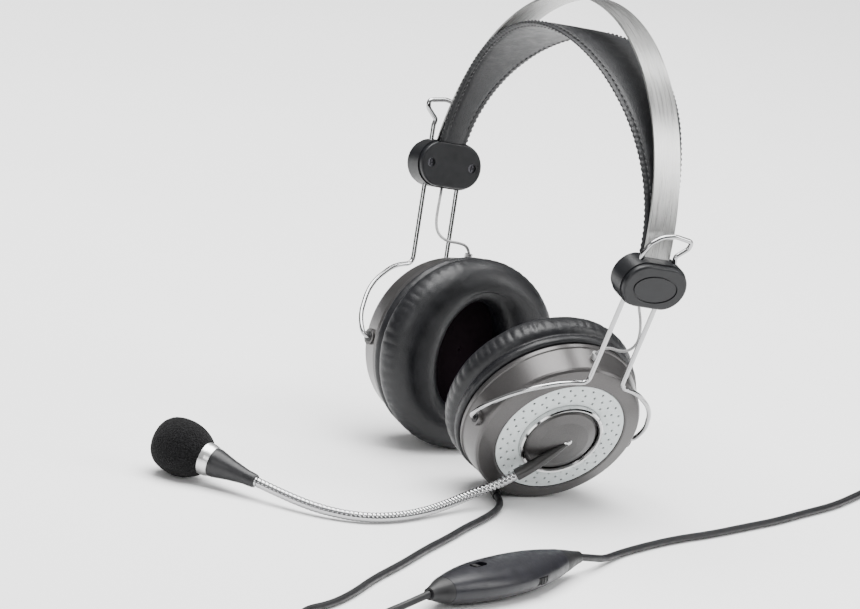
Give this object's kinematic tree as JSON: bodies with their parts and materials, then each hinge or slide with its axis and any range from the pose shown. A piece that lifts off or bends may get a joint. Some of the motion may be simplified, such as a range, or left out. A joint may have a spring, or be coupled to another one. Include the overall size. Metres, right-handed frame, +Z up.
{
  "type": "headset",
  "caption": "Office headset with a steel band, wire yokes, tilting padded cups, a swivelling gooseneck microphone and a corded in-line control.",
  "frame": {"origin": "under the middle of the headset as it stands on its cups, cord left out, on the table", "axes": "+X to the wearer's left, where the microphone is; -Y to the front; +Z up"},
  "size_m": [0.2907, 0.4158, 0.2032],
  "materials": {
    "band_steel": "brushed along the arch",
    "strap_leather": "black grained",
    "block_plastic": "satin black",
    "screw_steel": "blackened",
    "pad_plastic": "natural",
    "wire_chrome": "polished",
    "cup_satin": "satin gunmetal paint on plastic",
    "ring_silver": "matt silver lacquer",
    "bezel_chrome": "polished",
    "trim_plastic": "moulded black",
    "baffle_plastic": "moulded black",
    "driver_steel": "plated",
    "cushion_leather": "soft glossy black",
    "cushion_cloth": "dark woven",
    "hub_satin": "satin gunmetal paint on plastic",
    "arm_plastic": "satin dark grey",
    "gooseneck_chrome": "spiral wound",
    "collar_silver": "satin",
    "foam": "open foam",
    "cord_rubber": "satin black",
    "controller_plastic": "satin black",
    "board": "circuit board",
    "plug_nickel": "nickel plated",
    "lead_grey": "translucent grey"
  },
  "bodies": {
    "headband": {"outer_band": "band_steel", "head_strap": "strap_leather", "block_outer_left": "block_plastic", "block_outer_right": "block_plastic", "block_inner_left": "block_plastic", "block_inner_right": "block_plastic", "block_screws": "screw_steel", "slider_pads": "pad_plastic", "bridge_leads": "lead_grey"},
    "left_yoke": {"yoke_wire_left": "wire_chrome"},
    "right_yoke": {"yoke_wire_right": "wire_chrome"},
    "left_cup": {"baffle_plate_left": "baffle_plastic", "centre_bezel_left": "bezel_chrome", "cup_housing_left": "cup_satin", "cup_screws_left": "screw_steel", "driver_basket_left": "driver_steel", "driver_magnet_left": "driver_steel", "ear_cushion_left": "cushion_leather", "grille_ring_left": "ring_silver", "inner_cloth_left": "cushion_cloth", "lead_port_left": "trim_plastic", "pivot_bushes_left": "pad_plastic", "cord_gland": "trim_plastic", "cord_in": "cord_rubber", "cord_out": "cord_rubber", "cord_coil": "cord_rubber", "cord_tail": "cord_rubber", "splitter": "cord_rubber", "lead_mic": "cord_rubber", "lead_phones": "cord_rubber", "plug_grips": "cord_rubber", "plug_pins": "plug_nickel", "controller_top": "controller_plastic", "controller_bottom": "controller_plastic", "control_board": "board", "wheel_axle": "controller_plastic", "cord_reliefs": "cord_rubber"},
    "right_cup": {"baffle_plate_right": "baffle_plastic", "centre_bezel_right": "bezel_chrome", "centre_cap_right": "hub_satin", "cup_housing_right": "cup_satin", "cup_screws_right": "screw_steel", "driver_basket_right": "driver_steel", "driver_magnet_right": "driver_steel", "ear_cushion_right": "cushion_leather", "grille_ring_right": "ring_silver", "inner_cloth_right": "cushion_cloth", "lead_port_right": "trim_plastic", "pivot_bushes_right": "pad_plastic", "cap_clip": "driver_steel"},
    "boom": {"boom_hub": "hub_satin", "boom_clip": "driver_steel", "boom_arm": "arm_plastic", "gooseneck": "gooseneck_chrome", "mic_cone": "arm_plastic", "mic_collar": "collar_silver", "mic_capsule": "collar_silver", "mic_foam": "foam"},
    "volume_wheel": {"volume_wheel": "controller_plastic"},
    "mic_switch": {"mic_switch": "controller_plastic"}
  },
  "joints": [
    {"name": "left_yoke_slide", "type": "slide", "parent": "headband", "child": "left_yoke", "axis": [0.2158, 0.1359, 0.9669], "range_m": [0, 0.03], "deforming": ["bridge_leads"]},
    {"name": "right_yoke_slide", "type": "slide", "parent": "headband", "child": "right_yoke", "axis": [-0.2158, 0.1359, 0.9669], "range_m": [-0.004, 0.026], "deforming": ["bridge_leads"]},
    {"name": "left_cup_tilt", "type": "hinge", "parent": "left_yoke", "child": "left_cup", "pos_m": [0.04626, 0.059, 0.0327], "axis": [0, 0.9903, -0.1392], "range_deg": [-20, 10], "deforming": ["bridge_leads"]},
    {"name": "right_cup_tilt", "type": "hinge", "parent": "right_yoke", "child": "right_cup", "pos_m": [-0.04751, 0.05979, 0.0383], "axis": [0, -0.9903, 0.1392], "range_deg": [-8, 26], "deforming": ["bridge_leads"]},
    {"name": "boom_swivel", "type": "hinge", "parent": "left_cup", "child": "boom", "pos_m": [0.04716, 0.05926, 0.03457], "axis": [0.9024, -0.06, -0.4266], "range_deg": [-55, 8]},
    {"name": "volume_turn", "type": "hinge", "parent": "left_cup", "child": "volume_wheel", "pos_m": [0.15748, -0.00979, 0.00745], "axis": [0, 0, 1], "range_deg": [-140, 140]},
    {"name": "mute_slide", "type": "slide", "parent": "left_cup", "child": "mic_switch", "axis": [-0.3961, 0.9182, 0], "range_m": [0, 0.0032]}
  ]
}
